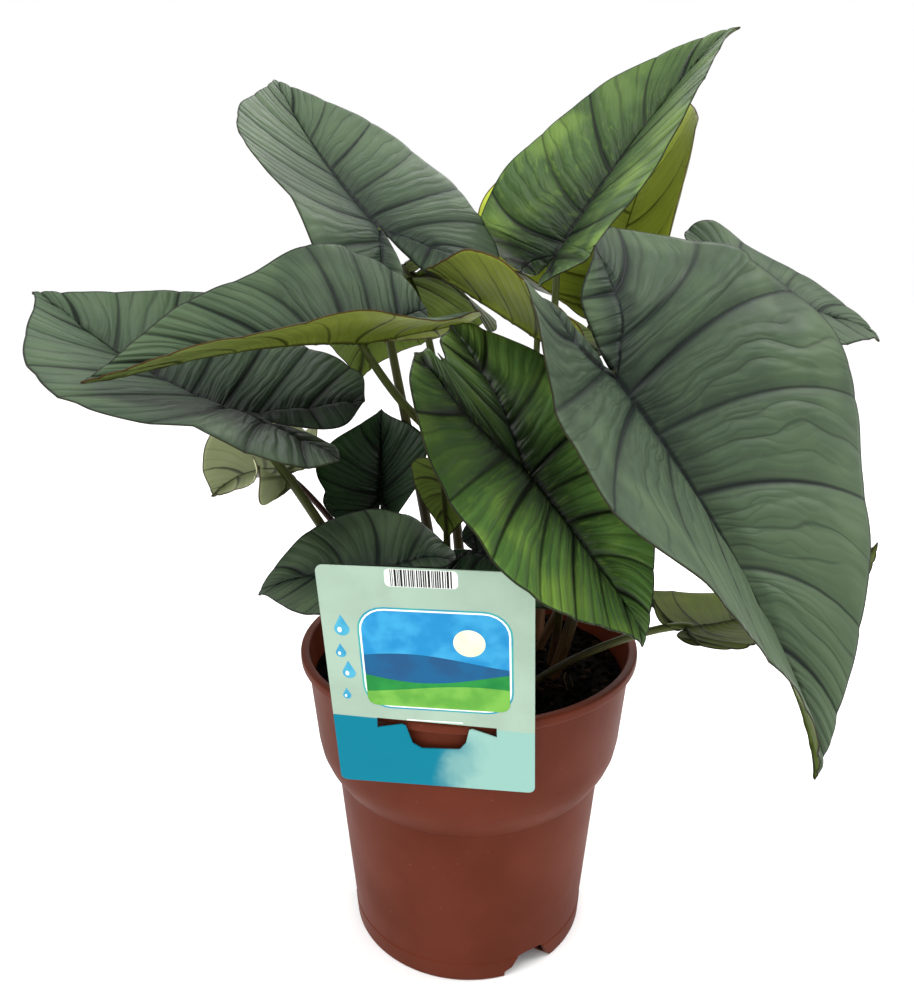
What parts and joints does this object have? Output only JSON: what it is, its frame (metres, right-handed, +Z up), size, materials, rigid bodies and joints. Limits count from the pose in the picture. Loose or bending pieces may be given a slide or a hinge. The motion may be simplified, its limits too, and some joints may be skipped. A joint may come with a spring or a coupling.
{
  "type": "potted alocasia plant",
  "caption": "Leafy alocasia with arrow-shaped, quilted leaves on long petioles, growing from a brown nursery pot with a care tag hooked over its rim.",
  "frame": {"origin": "centre of the pot's underside, on the surface the pot stands on", "axes": "+Z up along the pot's axis, -Y the way the care tag faces (the front), +X to the right seen from the front"},
  "size_m": [0.4154, 0.3563, 0.4636],
  "materials": {
    "leaf_sage": "semi-matt living leaf, grey-green quilted upper face with a soft sheen",
    "leaf_bright": "semi-gloss living leaf, bright green quilting between dark veins",
    "leaf_dark": "semi-gloss living leaf, dark blue-green",
    "leaf_underside": "smooth olive to yellow-green underside with thin dark veins",
    "petiole": "smooth olive-brown stalk",
    "petiole_plum": "smooth purple-brown stalk",
    "pot": "matt terracotta-brown moulded plastic with faint dust",
    "soil": "damp dark potting mix of bark, peat and fibres",
    "tag": "printed thin plastic card, satin"
  },
  "bodies": {
    "root": {"blade_front_right": "leaf_sage", "petiole_front_right": "petiole", "blade_top_right": "leaf_bright", "petiole_top_right": "petiole", "blade_back_right": "leaf_underside", "petiole_back_right": "petiole", "blade_top_left": "leaf_sage", "petiole_top_left": "petiole", "blade_centre": "leaf_bright", "petiole_centre": "petiole", "blade_left_folded": "leaf_sage", "petiole_left_folded": "petiole", "blade_left_low": "leaf_sage", "petiole_left_low": "petiole", "blade_inner_dark": "leaf_dark", "petiole_inner_dark": "petiole_plum", "blade_front_left": "leaf_sage", "petiole_front_left": "petiole", "blade_centre_folded": "leaf_underside", "petiole_centre_folded": "petiole", "blade_right_back": "leaf_sage", "petiole_right_back": "petiole", "blade_right_low": "leaf_underside", "petiole_right_low": "petiole", "blade_far_left": "leaf_underside", "petiole_far_left": "petiole_plum", "blade_back_left": "leaf_underside", "petiole_back_left": "petiole", "blade_small_hanging": "leaf_underside", "petiole_small_hanging": "petiole", "blade_low_centre": "leaf_dark", "petiole_low_centre": "petiole_plum", "pot": "pot", "soil": "soil", "tag": "tag"}
  },
  "joints": []
}
